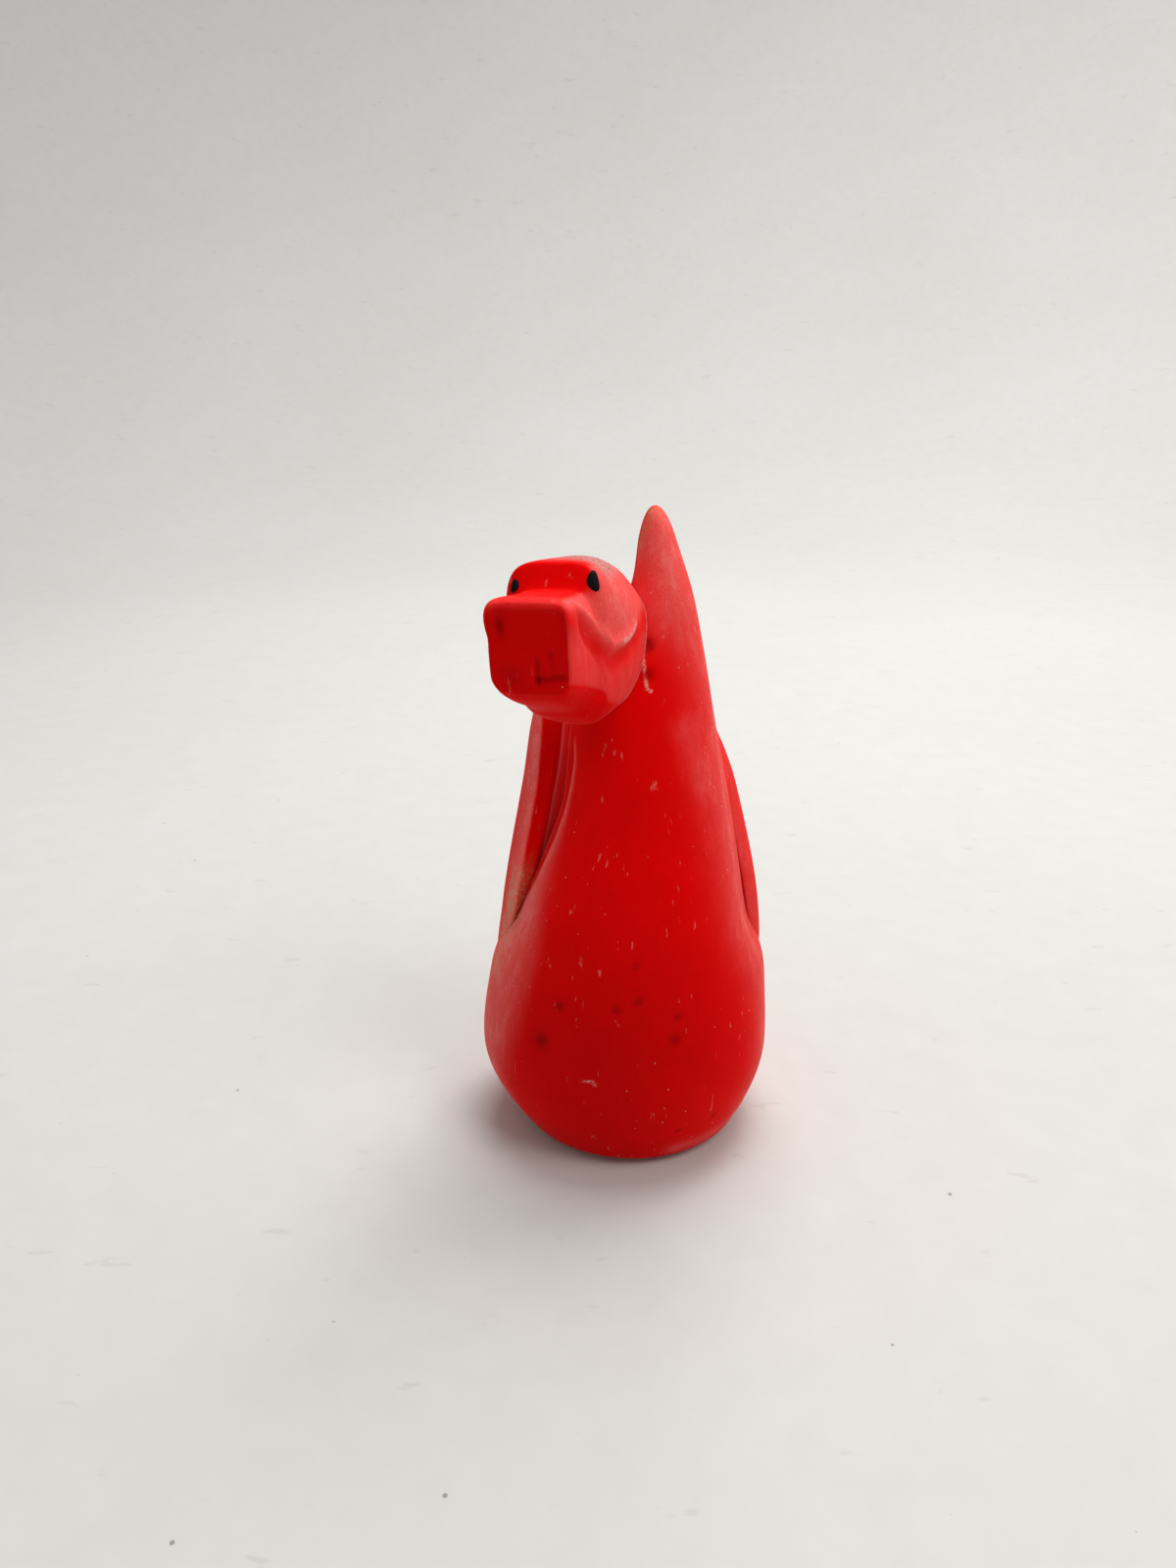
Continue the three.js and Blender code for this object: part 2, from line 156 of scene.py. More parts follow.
foot_edge = (0.6, 12.9, 12.9, 0.3, 0.0)
foot_round = (1.5, 14.6, 14.1, 0.1, 0.0)
belly = (11.8, 18.7, 17.0, -0.7, 0.2)
body_stations = np.array([
    foot_edge,
    foot_round,
    belly,
    (30.0, 14.4, 12.8, 0.2, -0.6),  # chest
    (45.0, 10.2, 8.0, 1.6, -1.4),  # throat
    (55.0, 8.6, 6.9, 1.15, -0.6),  # neck
    (64.0, 6.3, 5.7, 1.8, 0.6),      # nape
    (71.0, 3.5, 4.2, 3.0, 1.4),      # root of the crest
    (76.2, 2.2, 2.8, 2.5, 1.8),      # narrow of the crest
])
crest_tip = np.array([2.2, 2.0, 80.0])
flank_stations = np.array([
    foot_edge,
    foot_round,
    belly,
    (30.0, 16.8, 14.8, -0.05, 0.2),  # flank
    (46.0, 13.6, 12.0, -0.4, 0.4),  # shoulder
    (58.0, 10.6, 9.4, -2.0, 0.8),  # withers
])
print("body stations:", len(body_stations), "flank stations:", len(flank_stations))

# %% [markdown]
# ## The hips
#
# Low down, the body swells out at the sides and back to carry the wings. Its skin goes over smoothly
# from its own oval to the flank's there.

# %% Plain skin with hips
hip_low, hip_high = 21.0, 31.0
hip_front, hip_rear = np.radians(48), np.radians(82)
hip_inset = 0.2


def on_body(angle, height):
    """Points of the body's plain skin, at angles from the front and heights.

    share = (1 - step(height, low, high)) * step(angle from the front, front, rear), and a point is
    the body's times 1 - share, plus the flank's, a little inset, times share.
    """
    height = height + 0 * angle
    from_front = np.pi - np.abs(np.pi - angle % (2 * np.pi))
    share = (1 - step(height, hip_low, hip_high)) * step(from_front, hip_front, hip_rear)
    plain = oval(body_stations, angle, height)
    hip = oval(flank_stations, angle, height, hip_inset * step(height, belly[0], hip_low))
    return plain + (hip - plain) * share[..., None]


print("half width at the hips in mm:", on_body(np.radians(90), 24.0)[0].round(1))

# %% [markdown]
# ## From points to a piece
#
# Every skin is a stack of rings with the same number of points. Neighbouring rings are joined by
# four-sided faces and each end is closed round its own middle point, so that the piece is watertight.
# Its object stays at the origin, with its place in its mesh.

# %% Rings into a closed piece
def outward(rings):
    """Unit normals of a stack of rings: the way round crossed with the way along the stack."""
    way_round = np.roll(rings, -1, axis=1) - np.roll(rings, 1, axis=1)
    normal = np.cross(way_round, np.gradient(rings, axis=0))
    return normal / np.linalg.norm(normal, axis=-1, keepdims=True)


def ring_faces(count, around):
    """Four-sided faces between rings, where point j of ring i has the number i * around + j."""
    ring = np.arange(count - 1)[:, None] * around
    spot = np.arange(around)
    after = (spot + 1) % around
    return np.stack([ring + spot, ring + after, ring + around + after, ring + around + spot], -1)


def make_piece(name, rings, start, end, replaced, slot, marks=None):
    """Builds a closed piece from rings in millimetres, and hides the solid that it takes the place of.

    Each end is a fan of triangles round its own middle point. marks holds one value per point of
    the rings under each name, for the finishes to read.
    """
    count, around = rings.shape[:2]
    quads = ring_faces(count, around)
    spot, after = quads[0, :, 0], quads[0, :, 1]
    middle = np.full(around, count * around)
    last = (count - 1) * around
    fans = np.concatenate([
        np.stack([middle, after, spot], -1),
        np.stack([middle + 1, last + spot, last + after], -1),
    ])
    corners = np.concatenate([quads.ravel(), fans.ravel()])
    starts = np.concatenate([4 * np.arange(quads.size // 4), quads.size + 3 * np.arange(len(fans))])
    points = np.concatenate([rings.reshape(-1, 3), [start, end]]) / millimetres

    mesh = bpy.data.meshes.new(name)
    mesh.vertices.add(len(points))
    mesh.vertices.foreach_set("co", points.astype(np.float32).ravel())
    mesh.loops.add(len(corners))
    mesh.loops.foreach_set("vertex_index", corners.astype(np.int32))
    mesh.polygons.add(len(starts))
    mesh.polygons.foreach_set("loop_start", starts.astype(np.int32))
    mesh.update(calc_edges=True)
    mesh.shade_smooth()
    for mark, values in (marks or {}).items():
        ends = [values[0].mean(), values[-1].mean()]
        layer = mesh.attributes.new(mark, "FLOAT", "POINT")
        layer.data.foreach_set("value", np.concatenate([values.ravel(), ends]).astype(np.float32))
    piece = new_object(name, mesh)
    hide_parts(replaced)
    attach(piece, "root")
    strongest = {mark: values.max().round(2) for mark, values in (marks or {}).items()}
    print(f"{name}: {len(points)} points, {quads.size // 2 + len(fans)} triangles", strongest)


# %% Distances to marks
def near(points, centre, radius):
    """1 at the centre of a mark, fading with the distance from it."""
    return fade(np.linalg.norm(points - centre, axis=-1), radius)


def along(points, path, radius):
    """1 on a path of straight pieces, fading with the distance to the nearest of them."""
    best = np.full(points.shape[:-1], np.inf)
    for a, b in zip(path[:-1], path[1:]):
        line = b - a
        share = np.clip((points - a) @ line / (line @ line), 0, 1)
        best = np.minimum(best, np.linalg.norm(points - a - share[..., None] * line, axis=-1))
    return fade(best, radius)


def body_spot(degrees, height):
    """A point on the body's plain skin, at an angle from the front towards the left side."""
    return on_body(np.radians(degrees), height)


def body_path(*spots):
    """A path on the body's plain skin through spots of angle and height."""
    return np.array([body_spot(*spot) for spot in spots])


# %% [markdown]
# ## The wings' place on the flanks
#
# Each wing is a leaf-shaped lobe that follows the flank from the hip to the nape, thick along its
# front edge and thin along its rear edge. The wing and the bed under it follow the same outline.

# %% Wing outline
wing_front_thickness, wing_rear_thickness = 5.2, 2.2
wing_stations = np.array([
    # height, front edge, rear edge
    (16.0, 117.0, 123.0),
    (21.0, 96.0, 148.0),
    (26.0, 83.0, 162.0),
    (34.0, 78.0, 170.0),
    (44.0, 77.0, 171.0),
    (50.0, 80.0, 168.0),
    (55.5, 92.0, 152.0),
    (59.0, 113.0, 127.0),
])
wing_foot, wing_top = wing_stations[0, 0], wing_stations[-1, 0]
wing_rim_power, wing_tip_power = 3, 8


def wing_edges(height):
    """The angles of the front and rear edge of a wing, in radians."""
    return (np.radians(smooth(wing_stations, column, height)) for column in (1, 2))


def wing_middle(across):
    """Depth of the middle of a wing's section, from across = -1 in front to 1 at the rear."""
    return (wing_front_thickness * (1 - across) + wing_rear_thickness * (1 + across)) / 4


def wing_thin(height):
    """1 up most of the wing, 0 at its tips: sqrt(1 - (2 * share - 1)^8) at a share of its height."""
    along_wing = np.clip((height - wing_foot) / (wing_top - wing_foot), 0, 1)
    return np.sqrt(1 - (2 * along_wing - 1) ** wing_tip_power)


def in_flank(points, side):
    """Angle round the flank and depth under its surface, in mm, of points in space.

    With the offsets from the oval's middle divided by its half sizes, the angle is their arc
    tangent and the depth is 1 less their length, times the mean half size.
    """
    middle_x, middle_y, half_x, half_y = oval_sizes(flank_stations, points[..., 2])
    x = side * (points[..., 0] - middle_x) / half_x
    y = (middle_y - points[..., 1]) / half_y
    return np.arctan2(x, y), (1 - np.hypot(x, y)) * (half_x + half_y) / 2


# %% [markdown]
# ## The body
#
# Belly, chest, neck and crest are one moulding, with a stub of a tail low at the back. Its skin is
# a stack of about 300 ovals. The bed of each wing is pressed in towards the middle, and the small
# dents of use along the skin's normals. A few rings under it make the pad's recess.

# %% Body rings
tail_reach, tail_height, tail_half_height = 7.0, 3.8, 5.5
tail_half_angle = np.radians(23)
pad_thickness, pad_border, pad_gap = 1.2, 1.5, 0.3
body_points_round = 288
foot_rings, trunk_rings, dome_rings = 8, 286, 14
dome_fullness = 0.07

foot_shares = np.linspace(0, 1, foot_rings) ** 2
foot_heights = foot_edge[0] + (foot_round[0] - foot_edge[0]) * foot_shares
narrow_height = body_stations[-1, 0]
trunk_heights = np.linspace(foot_round[0], narrow_height, trunk_rings)
body_heights = np.concatenate([foot_heights, trunk_heights[1:]])
angle, height = np.meshgrid(turns(body_points_round), body_heights)
body = on_body(angle, height)

from_back = np.abs(np.pi - angle)
tail = tail_reach * fade(height - tail_height, tail_half_height)
body[..., 1] += tail * fade(from_back, tail_half_angle)

lift = np.linspace(0, np.pi / 2, dome_rings + 2)[1:-1, None]
dome_middle = np.array([*body_stations[-1, [CENTRE_X, CENTRE_Y]], narrow_height])
dome_centres = dome_middle + (crest_tip - dome_middle) * np.sin(lift)
dome_share = np.sqrt(1 - np.sin(lift)) * (1 + dome_fullness * np.sin(lift))
dome = (body[-1] - dome_middle)[None] * dome_share[..., None] + dome_centres[:, None]
body = np.concatenate([body, dome])
print("body rings:", body.shape[0], "around:", body.shape[1])

# %% Beds for the wings
bed_edge_out, bed_edge_in = 0.1, 0.6
bed_gap = 0.12
least_slope = 1e-3  # keeps a division away from 0
tiny = 1e-6


def press_bed(points, side):
    """Lowers a grid of points to the inner face of a wing where they would lie inside the wing.

    With across and q measured from the middle of the wing's section in units of its half sizes, the
    wing is where |across|^3 + |q|^3 < 1. level is 1 less the cube root of that sum, and level over
    its slope along the grid is the distance inside the wing's edge, over which the bed deepens.
    """
    height = points[..., 2]
    around, depth = in_flank(points, side)
    front, rear = wing_edges(height)
    across = np.clip((2 * around - front - rear) / (rear - front), -2, 2)
    middle, thin = wing_middle(np.clip(across, -1, 1)), wing_thin(height)
    q = np.clip((depth - middle) / (middle * np.maximum(thin, least_slope)), -3, 3)
    power = wing_rim_power
    level = 1 - (np.abs(across) ** power + np.abs(q) ** power) ** (1 / power)
    inside_distance = level / np.maximum(grid_slope(points, level), least_slope)
    cover = step(inside_distance, -bed_edge_out, bed_edge_in)
    swell = (1 - np.minimum(np.abs(across), 1) ** power) ** (1 / power)
    move = cover * np.clip(middle * (1 + thin * swell) + bed_gap - depth, 0, None)
    middle_x, middle_y, *_ = oval_sizes(flank_stations, height)
    inward = np.stack([middle_x - points[..., 0], middle_y - points[..., 1], 0 * height], -1)
    length = np.maximum(np.linalg.norm(inward, axis=-1, keepdims=True), tiny)
    return points + inward / length * move[..., None]


def grid_slope(points, values):
    """How fast values change along a grid of points, per millimetre."""
    slopes = []
    for difference in (
        lambda grid: np.gradient(grid, axis=0),
        lambda grid: (np.roll(grid, -1, axis=1) - np.roll(grid, 1, axis=1)) / 2,
    ):
        size = np.linalg.norm(difference(points), axis=-1)
        slopes.append(difference(values) / np.maximum(size, least_slope))
    return np.hypot(*slopes)


plain_body = body
for side in (1, -1):
    body = press_bed(body, side)
print("deepest bed in mm:", np.linalg.norm(body - plain_body, axis=-1).max().round(2))

# %% Dents and dings
body_dents = [
    # angle, height, radius, depth
    (-7.0, 65.2, 0.75, 0.35),
    (-3.0, 62.0, 0.7, 0.3),
    (0.0, 28.7, 0.5, 0.12),
    (2.0, 24.4, 0.55, 0.14),
    (19.0, 22.2, 0.45, 0.16),
    (18.0, 19.5, 0.7, 0.14),
    (-37.0, 18.0, 1.0, 0.2),
    (-32.0, 22.8, 0.6, 0.16),
    (-7.0, 23.4, 0.5, 0.14),
    (37.0, 7.1, 0.4, 0.15),
    (20.0, 6.2, 0.4, 0.15),
    (140.0, 30.0, 0.8, 0.12),
    (-150.0, 20.0, 0.6, 0.12),
    (165.0, 50.0, 0.5, 0.1),
]
rim_line = body_path((20, 2.6), (32, 2.7), (45, 3.0), (57, 3.6), (66, 4.3))
rim_line_height, rim_line_radius = 0.06, 0.22
seam_flash = body_path((-22, 67.6), (-14, 66), (-10, 64.2), (-5, 61.8), (-2, 60.6), (2, 60.2))
flash_height, flash_radius = 0.05, 0.14

body_normal = outward(body)
relief = np.zeros(body.shape[:2])
for degrees, level, radius, depth in body_dents:
    relief -= depth * near(body, body_spot(degrees, level), radius)
relief += rim_line_height * along(body, rim_line, rim_line_radius)
relief += flash_height * along(body, seam_flash, flash_radius)
body += body_normal * relief[..., None]
print("deepest dent in mm:", round(float(-relief.min()), 2))

# %% [markdown]
# ## Where the body is worn, and where sheen and shade are painted on
#
# The finish reads from numbers on the points where the rubber is pale with painted sheen, darkened
# with painted shade, olive with wear or scuffed. The painted sheen, partly a dusty film, has long
# borders: a border is an angle at some heights, and how far a point lies from it round the body, in
# mm, says how pale it is. The other marks lie near short paths. In the hollow before the right wing
# the painted sheen is left out and a little painted shade makes the skin deep red.

# %% Borders of the painted sheen
neck_border = np.array([
    # height, angle where the hollow by the right wing ends, width in mm of the painted edge highlight
    # there
    (27.0, -80.0, 3.0), (34.0, -79.0, 3.2), (38.0, -78.0, 2.2), (42.0, -77.0, 1.4),
    (45.0, -74.5, 0.9), (48.5, -69.5, 0.6), (51.0, -66.5, 0.5), (54.0, -71.0, 0.4),
])
belly_border = np.array([
    # height, angle where the painted sheen of the right flank begins
    (2.0, -53.0), (9.6, -49.0), (14.4, -46.0), (18.9, -44.0), (26.4, -44.0), (30.0, -46.0), (36.0, -58.0),
])
left_border = np.array([
    # height, angle of the edge between the neck and the left wing, and on down the flank
    (3.0, 64.0), (12.0, 74.0), (20.0, 78.0), (28.0, 73.0), (36.6, 69.0), (45.6, 69.0), (51.6, 73.0),
    (57.0, 80.0), (62.0, 76.0), (68.0, 64.0), (76.0, 56.0),
])
body_up = body[..., 2]
middle_x, middle_y, half_x, half_y = oval_sizes(body_stations, body_up)
body_turn = np.arctan2((body[..., 0] - middle_x) / half_x, (middle_y - body[..., 1]) / half_y)


def past(border):
    """How far each point of the body lies to the left of a border, in mm round the body."""
    return (body_turn - np.radians(smooth(border, 1, body_up))) * half_x


# %% Painted sheen and highlights along the borders
left_share, left_soft = 0.72, 4.3
line_share, line_soft = 0.4, 0.6

# A painted highlight along the neck's edge, painted sheen on the right flank and along the edge between
# the neck and the left wing.
past_neck = past(neck_border)
neck_edge_highlight = fade(np.clip(past_neck, 0, None), smooth(neck_border, 2, body_up))
neck_edge_highlight *= step(past_neck, -0.15, 0.15) * band(body_up, (28, 33), (52.5, 54))
# In the hollow before the right wing the painted sheen is taken away and a little painted shade is added.
shaded_hollow = step(-past_neck, -0.1, 0.2) * step(past_neck, -8, -6) * step(body_up, 31, 34)

beyond_belly = -past(belly_border)
belly_edge_sheen = band(beyond_belly, (0, 7.5), (9, 27)) * band(body_up, (2, 5), (32, 37))

before_left = -past(left_border)
left_edge_sheen = left_share * fade(np.clip(before_left, 0, None), left_soft) * step(before_left, -13, -1)
left_edge_sheen += line_share * fade(before_left, line_soft) * (1 - step(body_up, 55, 60))
left_edge_sheen *= step(body_up, 3, 7)
print("most bloom:", [sheen_and_dust.max().round(2) for sheen_and_dust in (neck_edge_highlight, belly_edge_sheen, left_edge_sheen)])

# %% Marks of the body: painted sheen, wear, painted shade and scuffs
crest_front = body_path((0, 70), (0, 74), (0, 76))
crest_side = body_path((-60, 70), (-60, 75))
scuff_path = body_path((33, 55.6), (39, 52.6), (43, 49.3))
squiggle = body_path((-17, 14.2), (-14, 14.4), (-12, 13.8))
worn_crease = body_path((-92, 34), (-88, 31), (-83, 29), (-80, 26), (-79, 23.5))
crest_wear = np.array([[0.5, 0.4, 75.5], [1.0, 0.6, 78.0], [1.9, 1.2, 79.6]])
# Spots of painted shade under the chin and on the middle of the belly.
throat_shade = body_spot(-38, 54.5)
shaded_belly_middle = body_spot(-4, 15)
deep_dent = 0.18

# Painted highlights on the front and side of the crest and along the rim line; along the scuff path the
# paleness is partly a dusty film.
body_sheen_and_dust = 1.3 * neck_edge_highlight + 1.25 * belly_edge_sheen + left_edge_sheen
for path, radius, strength in (
    (scuff_path, 1.6, 0.3),
    (crest_front, 3.6, 0.52),
    (crest_side, 2.0, 0.3),
    (rim_line, 1.1, 0.6),
):
    body_sheen_and_dust += strength * along(body, path, radius)
body_marks = {
    "sheen_and_dust": body_sheen_and_dust * (1 - 0.97 * shaded_hollow),
    "wear": np.clip(along(body, worn_crease, 1.4) + 0.8 * along(body, crest_wear, 0.9), 0, 1),
    # Painted shade: darker in the dents, in the hollow before the right wing, under the throat and in the
    # middle of the belly.
    "painted_shade": 0.75 * np.clip(-relief / deep_dent, 0, 1) + 0.15 * shaded_hollow
    + 0.35 * near(body, throat_shade, 2.8) + 0.66 * near(body, shaded_belly_middle, 17.0),
    "scuff": along(body, seam_flash, 0.13) + 0.5 * along(body, squiggle, 0.12),
}

# %% Body piece
foot_centre = np.array([foot_edge[3], foot_edge[4], 0.0])
recess_top = pad_thickness + pad_gap
recess_profile = [(0.5, recess_top), (0.97, recess_top), (1.0, recess_top - 0.1), (1.0, 0.7)]
mouth_gap = pad_gap + 0.1


def foot_profile(profile, around, gap=0.0):
    """Rings under the foot: shares of the pad's size, made larger by a gap, at some heights."""
    turn = turns(around)
    size = (foot_edge[1] - pad_border + gap, foot_edge[2] - pad_border + gap, 0.0)
    out = np.stack([np.sin(turn), -np.cos(turn), 0 * turn], -1) * size
    return [foot_centre + out * share + (0, 0, level) for share, level in profile]


under = foot_profile(recess_profile, body_points_round, pad_gap)
under += foot_profile([(1.0, foot_edge[0])], body_points_round, mouth_gap)
unmarked = np.zeros((len(under), body_points_round))
make_piece(
    "body_skin", np.concatenate([np.array(under), body]), foot_centre + (0, 0, recess_top), crest_tip,
    "body", "red_skin",
    {name: np.concatenate([unmarked, mark]) for name, mark in body_marks.items()},
)

# %% [markdown]
# ## The wings
#
# A wing is a ring carried up the flank: at each height it runs round the outer face, the rear edge,
# the inner face and the front edge. The ring is an oval made boxy by the power 3, so that the edges
# are full, as they are on moulded rubber, and the ends close like the tip of a leaf.

# %% Wing pieces
wing_rings, wing_points_round = 200, 220
hollow_depth, hollow_inset, hollow_front = 1.1, (1.4, 3.2), (0.5, 0.95)
rim_soft = 2.4
shade_start, shade_full = 1.5, 2.0
crease_angle = np.radians([84.0, 82.0, 80.0, 79.0])
crease_height, crease_depth = np.array([26.0, 29.0, 33.0, 38.0]), np.array([0.4, 1.0, 1.7, 2.0])
crease_radius = 1.4


def wing_skin(side):
    """Rings of one wing, with the points at its two tips.

    For a turn from 0 to 2 pi, with u = cos(turn), v = sin(turn) and r = boxy(u, v, 3), the
    angle round the flank is the middle of the two edges plus half their distance times u * r, and
    the depth under the flank is the section's middle depth times 1 + thin * v * r, where thin
    closes the wing at its tips. Its front rim is hollowed by up to 1.1 mm where it faces the neck.
    """
    share = (1 - np.cos(np.pi * np.arange(1, wing_rings) / wing_rings)) / 2
    height = (wing_foot + (wing_top - wing_foot) * share)[:, None]
    turn = turns(wing_points_round)[None, :]
    front, rear = wing_edges(height)
    u, v = np.cos(turn), np.sin(turn)
    r = boxy(u, v, wing_rim_power)
    angle = (front + rear) / 2 + (rear - front) / 2 * u * r
    inset = wing_middle(u * r) * (1 + wing_thin(height) * v * r)
    hollow = step(inset, *hollow_inset) * step(-u * r, *hollow_front) * wing_thin(height)
    angle = angle + hollow_depth * hollow / smooth(flank_stations, HALF_WIDTH, height)
    rings = oval(flank_stations, angle, height, inset, side)
    tips = []
    for level in (wing_foot, wing_top):
        edges = wing_edges(level)
        tips.append(oval(flank_stations, sum(edges) / 2, level, wing_middle(0), side))
    return (rings if side > 0 else rings[:, ::-1]), tips


for word, side, rim_sheen, crease_wear in (("left", 1, 0.52, 0), ("right", -1, 1.32, 1)):
    rings, tips = wing_skin(side)
    around, depth = in_flank(rings, side)
    up = rings[..., 2]
    front, rear = wing_edges(up)
    from_front = (around - front) * smooth(flank_stations, HALF_WIDTH, up)
    # The front rim carries painted sheen on its outer part, stronger on the right wing, and painted shade
    # on its part that faces the neck.
    rim = fade(from_front, rim_soft)
    shaded = step(depth, shade_start, shade_full)
    low_crease = oval(flank_stations, crease_angle, crease_height, crease_depth, side)
    make_piece(
        f"wing_{word}_skin", rings, *tips, f"wing_{word}", "red_skin",
        {
            "sheen_and_dust": rim_sheen * rim * (1 - shaded),
            "wear": crease_wear * along(rings, low_crease, crease_radius) * (1 - step(up, 33, 39)),
            "painted_shade": 0.25 * rim * shaded,
            "scuff": 0 * rim,
        },
    )

# %% [markdown]
# ## The head
#
# The head is drawn along its own axis, which is turned 18 degrees to the dragon's right and tilted a
# little. Its sections are ovals near the neck and boxier towards the flat muzzle. A rolled lip with a
# furrow under it runs along each side, over a planed jaw. At the back the head fits the neck like a
# saddle: every line of its skin stops where it meets the body.

# %% Head sections
head_turn, head_tilt = np.radians(18), np.radians(3)
head_place = np.array([-6.05, -5.5, 66.0])
SIDE, HEAD_HALF_WIDTH, TOP, BOTTOM, SQUARE = 1, 2, 3, 4, 5
head_stations = np.array([
    # reach, side, half width, top, bottom, square
    (-5.5, 3.2, 3.4, 5.0, -6.0, 2.0),  # root, inside the neck
    (-1.5, 1.2, 5.3, 8.8, -8.4, 2.2),  # skull
    (3.5, 0.6, 6.0, 10.1, -8.6, 2.5),  # cheek
    (8.2, 0.0, 5.7, 10.3, -6.7, 4.0),  # brow
    (10.0, 0.0, 4.8, 7.7, -5.5, 4.0),  # bridge of the nose
    (15.8, 0.0, 4.6, 8.1, -2.6, 5.0),  # lip
    (16.7, 0.0, 4.45, 7.75, -1.75, 6.0),  # roll of the lip
    (17.0, 0.0, 4.15, 7.2, -1.4, 6.0),  # edge of the flat face
])
muzzle_reach = head_stations[-1, 0]


def head_section(reach):
    """Side, half width, middle height, half height and squareness of the head at a reach."""
    side, half_width, top, bottom, square = (
        smooth(head_stations, column, reach)
        for column in (SIDE, HEAD_HALF_WIDTH, TOP, BOTTOM, SQUARE)
    )
    return side, half_width, (top + bottom) / 2, (top - bottom) / 2, square


def head_point(reach, turn, share=1.0):
    """Points of the head in its own frame: x to the side, -y forward, z up.

    A boxy oval in polar form: with u = sin(turn) and v = cos(turn) its radius is
    boxy(u, v, square), in units of the half width and half height.
    """
    side, half_width, middle, half_height, square = head_section(reach)
    u, v = np.sin(turn), np.cos(turn)
    radius = share * boxy(u, v, square)
    return np.stack([
        side + half_width * u * radius, -reach + 0 * radius, middle + half_height * v * radius
    ], -1)


def head_inside(points):
    """Below 1 inside the head's plain sections and above 1 outside them."""
    side, half_width, middle, half_height, square = head_section(-points[..., 1])
    across = np.abs((points[..., 0] - side) / half_width) ** square
    return across + np.abs((points[..., 2] - middle) / half_height) ** square


cos_turn, sin_turn = np.cos(head_turn), np.sin(head_turn)
cos_tilt, sin_tilt = np.cos(head_tilt), np.sin(head_tilt)
head_axes = np.array([[cos_turn, sin_turn, 0], [-sin_turn, cos_turn, 0], [0, 0, 1]]) @ np.array(
    [[cos_tilt, 0, -sin_tilt], [0, 1, 0], [sin_tilt, 0, cos_tilt]]
)


def from_head(points):
    """Turns points of the head's frame into the figurine's frame."""
    return points @ head_axes.T + head_place


# %% Where the head meets the neck
seam_gap = 0.1
deepest_reach, reach_count = -8.0, 500
reach_samples = np.linspace(muzzle_reach, deepest_reach, reach_count)


def body_level(points):
    """Below 0 inside the body grown by the seam's gap, above 0 outside it."""
    middle_x, middle_y, half_x, half_y = oval_sizes(body_stations, points[..., 2])
    x = (points[..., 0] - middle_x) / (half_x + seam_gap)
    y = (points[..., 1] - middle_y) / (half_y + seam_gap)
    return np.hypot(x, y) - 1


def first_meeting(lines):
    """The reach at which each line of points, from the muzzle back, first enters the body."""
    level = body_level(from_head(lines))
    entered = np.argmax(level < 0, axis=0)
    entered = np.where((level < 0).any(axis=0), entered, len(reach_samples) - 1)
    entered = np.maximum(entered, 1)
    column = np.arange(level.shape[1])
    outer, inner = level[entered - 1, column], level[entered, column]
    share = np.clip(outer / np.where(outer == inner, 1, outer - inner), 0, 1)
    return reach_samples[entered - 1] + share * (reach_samples[entered] - reach_samples[entered - 1])


head_points_round = 300
turn_offset = 0.5e-3  # keeps the lines off the exact top and sides
head_turns = turns(head_points_round) + turn_offset
skin_lines = head_point(reach_samples[:, None], head_turns[None, :])
rim_reach = first_meeting(skin_lines)
print("head meets the neck at reaches from", rim_reach.min().round(1), "to", rim_reach.max().round(1))

# %% Head rings
face_rings, side_rings, saddle_rings = 50, 205, 12
crowding = 1.25  # closer rings towards the muzzle
face_shares = np.sin(np.linspace(0, np.pi / 2, face_rings + 2))[1:-1, None]
face = head_point(muzzle_reach - tiny, head_turns[None, :], face_shares)
side_shares = np.linspace(0, 1, side_rings)[:, None] ** crowding
side_reach = muzzle_reach + (rim_reach[None, :] - muzzle_reach) * side_shares
sides_of_head = head_point(side_reach, head_turns[None, :])

rim = sides_of_head[-1]
saddle_middle = rim.mean(axis=0)
saddle = []
for share in np.linspace(1, 0, saddle_rings + 2)[1:-1]:
    inner = saddle_middle + (rim - saddle_middle) * share
    lines = np.repeat(inner[None], len(reach_samples), axis=0)
    lines[..., 1] = -reach_samples[:, None]
    inner[:, 1] = -first_meeting(lines)
    saddle.append(inner)
head = np.concatenate([face, sides_of_head, np.array(saddle)])
saddle_end = np.array([saddle_middle[0], saddle[-1][:, 1].mean(), saddle_middle[2]])
print("head rings:", head.shape[0], "around:", head.shape[1])

# %% Lip, jaw and nostril flare
lip_line = np.array([
    # reach, height of the lip's ridge
    (-2.0, 3.4), (2.4, 2.1), (5.0, 1.4), (7.2, 1.3), (8.8, 2.4), (9.9, 3.6), (12.3, 5.5),
    (14.1, 6.9), (15.6, 7.6), (17.0, 7.9),
])
jaw_line = np.array([
    # reach, height where the planed jaw begins
    (-2.0, -6.2), (1.6, -6.1), (5.0, -5.6), (8.0, -4.6), (9.0, -3.2), (10.2, -2.6), (16.1, -0.6),
    (17.0, -0.4),
])
lip_height, lip_soft = 0.42, 0.75
furrow_depth, furrow_below, furrow_soft = 0.62, 1.6, 1.0
plane_share, plane_soft, plane_most = 0.42, 0.2, 3.5
flares = [
    # place beside a nostril in the head's frame, radius, height
    ((4.4, -15.6, 5.6), 1.5, 0.3),
    ((-4.6, -15.5, 6.2), 1.5, 0.75),
    ((-4.5, -15.9, 3.9), 0.7, -0.25),
]


